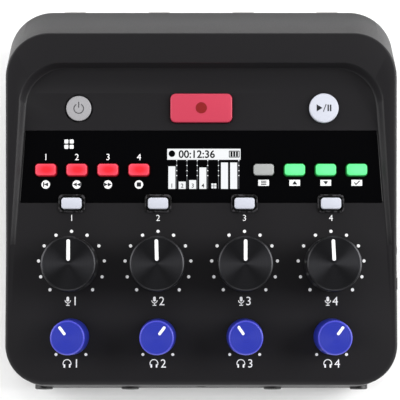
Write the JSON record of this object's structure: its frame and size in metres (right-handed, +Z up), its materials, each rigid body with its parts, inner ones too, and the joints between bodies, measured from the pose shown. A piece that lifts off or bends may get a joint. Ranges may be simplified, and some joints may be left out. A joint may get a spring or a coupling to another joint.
{
  "type": "podcast recorder",
  "caption": "Desktop podcast recorder: sloping panel with gain and headphone knobs, lit keys and a display, XLR inputs behind, headphone jacks in front, battery door below.",
  "frame": {"origin": "on the surface the recorder stands on, below the middle of its case", "axes": "+Z up, -Y towards the front edge with the headphone jacks, +X to the right seen from the front"},
  "size_m": [0.1436, 0.1402, 0.0474],
  "materials": {
    "case_plastic": "fine spark-eroded matte",
    "foot_rubber": "matte",
    "window_acrylic": "high gloss",
    "display_glass": "gloss",
    "circuit_board": "solder mask",
    "knob_plastic": "satin, spun top",
    "blue_knob_plastic": "satin",
    "pot_housing": "matte",
    "coral_key": "soft silicone",
    "grey_key": "soft silicone",
    "white_key": "soft silicone",
    "red_key": "lit soft silicone",
    "green_key": "lit soft silicone",
    "socket_plastic": "satin",
    "nickel_plate": "satin nickel"
  },
  "bodies": {
    "body": {"upper_case": "case_plastic", "lower_case": "case_plastic", "foot_1": "foot_rubber", "foot_2": "foot_rubber", "foot_3": "foot_rubber", "foot_4": "foot_rubber", "display_window": "window_acrylic", "display_module": "display_glass", "control_board": "circuit_board", "io_board": "circuit_board", "gain_pot_1": "pot_housing", "gain_pot_2": "pot_housing", "gain_pot_3": "pot_housing", "gain_pot_4": "pot_housing", "volume_pot_1": "pot_housing", "volume_pot_2": "pot_housing", "volume_pot_3": "pot_housing", "volume_pot_4": "pot_housing", "xlr_socket_1": "socket_plastic", "xlr_socket_2": "socket_plastic", "xlr_socket_3": "socket_plastic", "xlr_socket_4": "socket_plastic", "headphone_jack_1": "socket_plastic", "headphone_jack_2": "socket_plastic", "headphone_jack_3": "socket_plastic", "headphone_jack_4": "socket_plastic", "side_jack": "socket_plastic", "usb_socket": "nickel_plate", "card_socket": "nickel_plate", "battery_contact_front": "nickel_plate", "battery_contact_rear": "nickel_plate"},
    "gain_knob_1": {"gain_knob_1": "knob_plastic"},
    "gain_knob_2": {"gain_knob_2": "knob_plastic"},
    "gain_knob_3": {"gain_knob_3": "knob_plastic"},
    "gain_knob_4": {"gain_knob_4": "knob_plastic"},
    "volume_knob_1": {"volume_knob_1": "blue_knob_plastic"},
    "volume_knob_2": {"volume_knob_2": "blue_knob_plastic"},
    "volume_knob_3": {"volume_knob_3": "blue_knob_plastic"},
    "volume_knob_4": {"volume_knob_4": "blue_knob_plastic"},
    "record_button": {"record_button": "coral_key"},
    "power_button": {"power_button": "grey_key"},
    "play_button": {"play_button": "white_key"},
    "pad_button_1": {"pad_button_1": "red_key"},
    "pad_button_2": {"pad_button_2": "red_key"},
    "pad_button_3": {"pad_button_3": "red_key"},
    "pad_button_4": {"pad_button_4": "red_key"},
    "function_button_1": {"function_button_1": "grey_key"},
    "function_button_2": {"function_button_2": "green_key"},
    "function_button_3": {"function_button_3": "green_key"},
    "function_button_4": {"function_button_4": "green_key"},
    "mute_button_1": {"mute_button_1": "white_key"},
    "mute_button_2": {"mute_button_2": "white_key"},
    "mute_button_3": {"mute_button_3": "white_key"},
    "mute_button_4": {"mute_button_4": "white_key"},
    "xlr_latch_1": {"xlr_latch_1": "nickel_plate"},
    "xlr_latch_2": {"xlr_latch_2": "nickel_plate"},
    "xlr_latch_3": {"xlr_latch_3": "nickel_plate"},
    "xlr_latch_4": {"xlr_latch_4": "nickel_plate"},
    "side_switch": {"side_switch": "socket_plastic"},
    "battery_door": {"battery_door": "case_plastic"}
  },
  "joints": [
    {"name": "gain_turn_1", "type": "hinge", "parent": "body", "child": "gain_knob_1", "pos_m": [-0.0471, -0.02552, 0.03254], "axis": [0, -0.1045, 0.9945], "range_deg": [-140, 140]},
    {"name": "gain_turn_2", "type": "hinge", "parent": "body", "child": "gain_knob_2", "pos_m": [-0.0157, -0.02552, 0.03254], "axis": [0, -0.1045, 0.9945], "range_deg": [-140, 140]},
    {"name": "gain_turn_3", "type": "hinge", "parent": "body", "child": "gain_knob_3", "pos_m": [0.0157, -0.02552, 0.03254], "axis": [0, -0.1045, 0.9945], "range_deg": [-140, 140]},
    {"name": "gain_turn_4", "type": "hinge", "parent": "body", "child": "gain_knob_4", "pos_m": [0.0471, -0.02552, 0.03254], "axis": [0, -0.1045, 0.9945], "range_deg": [-140, 140]},
    {"name": "volume_turn_1", "type": "hinge", "parent": "body", "child": "volume_knob_1", "pos_m": [-0.0471, -0.05148, 0.02982], "axis": [0, -0.1045, 0.9945], "range_deg": [-177, 103]},
    {"name": "volume_turn_2", "type": "hinge", "parent": "body", "child": "volume_knob_2", "pos_m": [-0.0157, -0.05148, 0.02982], "axis": [0, -0.1045, 0.9945], "range_deg": [-103, 177]},
    {"name": "volume_turn_3", "type": "hinge", "parent": "body", "child": "volume_knob_3", "pos_m": [0.0157, -0.05148, 0.02982], "axis": [0, -0.1045, 0.9945], "range_deg": [-174, 106]},
    {"name": "volume_turn_4", "type": "hinge", "parent": "body", "child": "volume_knob_4", "pos_m": [0.0471, -0.05148, 0.02982], "axis": [0, -0.1045, 0.9945], "range_deg": [-103, 177]},
    {"name": "record_press", "type": "slide", "parent": "body", "child": "record_button", "axis": [0, 0.1045, -0.9945], "range_m": [0, 0.0005], "stiffness_N_per_m": 600},
    {"name": "power_press", "type": "slide", "parent": "body", "child": "power_button", "axis": [0, 0.1045, -0.9945], "range_m": [0, 0.0005], "stiffness_N_per_m": 600},
    {"name": "play_press", "type": "slide", "parent": "body", "child": "play_button", "axis": [0, 0.1045, -0.9945], "range_m": [0, 0.0005], "stiffness_N_per_m": 600},
    {"name": "pad_press_1", "type": "slide", "parent": "body", "child": "pad_button_1", "axis": [0, 0.1045, -0.9945], "range_m": [0, 0.0005], "stiffness_N_per_m": 600},
    {"name": "pad_press_2", "type": "slide", "parent": "body", "child": "pad_button_2", "axis": [0, 0.1045, -0.9945], "range_m": [0, 0.0005], "stiffness_N_per_m": 600},
    {"name": "pad_press_3", "type": "slide", "parent": "body", "child": "pad_button_3", "axis": [0, 0.1045, -0.9945], "range_m": [0, 0.0005], "stiffness_N_per_m": 600},
    {"name": "pad_press_4", "type": "slide", "parent": "body", "child": "pad_button_4", "axis": [0, 0.1045, -0.9945], "range_m": [0, 0.0005], "stiffness_N_per_m": 600},
    {"name": "function_press_1", "type": "slide", "parent": "body", "child": "function_button_1", "axis": [0, 0.1045, -0.9945], "range_m": [0, 0.0005], "stiffness_N_per_m": 600},
    {"name": "function_press_2", "type": "slide", "parent": "body", "child": "function_button_2", "axis": [0, 0.1045, -0.9945], "range_m": [0, 0.0005], "stiffness_N_per_m": 600},
    {"name": "function_press_3", "type": "slide", "parent": "body", "child": "function_button_3", "axis": [0, 0.1045, -0.9945], "range_m": [0, 0.0005], "stiffness_N_per_m": 600},
    {"name": "function_press_4", "type": "slide", "parent": "body", "child": "function_button_4", "axis": [0, 0.1045, -0.9945], "range_m": [0, 0.0005], "stiffness_N_per_m": 600},
    {"name": "mute_press_1", "type": "slide", "parent": "body", "child": "mute_button_1", "axis": [0, 0.1045, -0.9945], "range_m": [0, 0.0005], "stiffness_N_per_m": 600},
    {"name": "mute_press_2", "type": "slide", "parent": "body", "child": "mute_button_2", "axis": [0, 0.1045, -0.9945], "range_m": [0, 0.0005], "stiffness_N_per_m": 600},
    {"name": "mute_press_3", "type": "slide", "parent": "body", "child": "mute_button_3", "axis": [0, 0.1045, -0.9945], "range_m": [0, 0.0005], "stiffness_N_per_m": 600},
    {"name": "mute_press_4", "type": "slide", "parent": "body", "child": "mute_button_4", "axis": [0, 0.1045, -0.9945], "range_m": [0, 0.0005], "stiffness_N_per_m": 600},
    {"name": "latch_press_1", "type": "slide", "parent": "body", "child": "xlr_latch_1", "axis": [0, -1, 0], "range_m": [0, 0.0015], "stiffness_N_per_m": 600},
    {"name": "latch_press_2", "type": "slide", "parent": "body", "child": "xlr_latch_2", "axis": [0, -1, 0], "range_m": [0, 0.0015], "stiffness_N_per_m": 600},
    {"name": "latch_press_3", "type": "slide", "parent": "body", "child": "xlr_latch_3", "axis": [0, -1, 0], "range_m": [0, 0.0015], "stiffness_N_per_m": 600},
    {"name": "latch_press_4", "type": "slide", "parent": "body", "child": "xlr_latch_4", "axis": [0, -1, 0], "range_m": [0, 0.0015], "stiffness_N_per_m": 600},
    {"name": "side_switch_slide", "type": "slide", "parent": "body", "child": "side_switch", "axis": [0, -0.9945, -0.1045], "range_m": [0, 0.002]},
    {"name": "battery_door_swing", "type": "hinge", "parent": "body", "child": "battery_door", "pos_m": [0, 0.04315, 0.002], "axis": [1, 0, 0], "range_deg": [0, 70]}
  ]
}
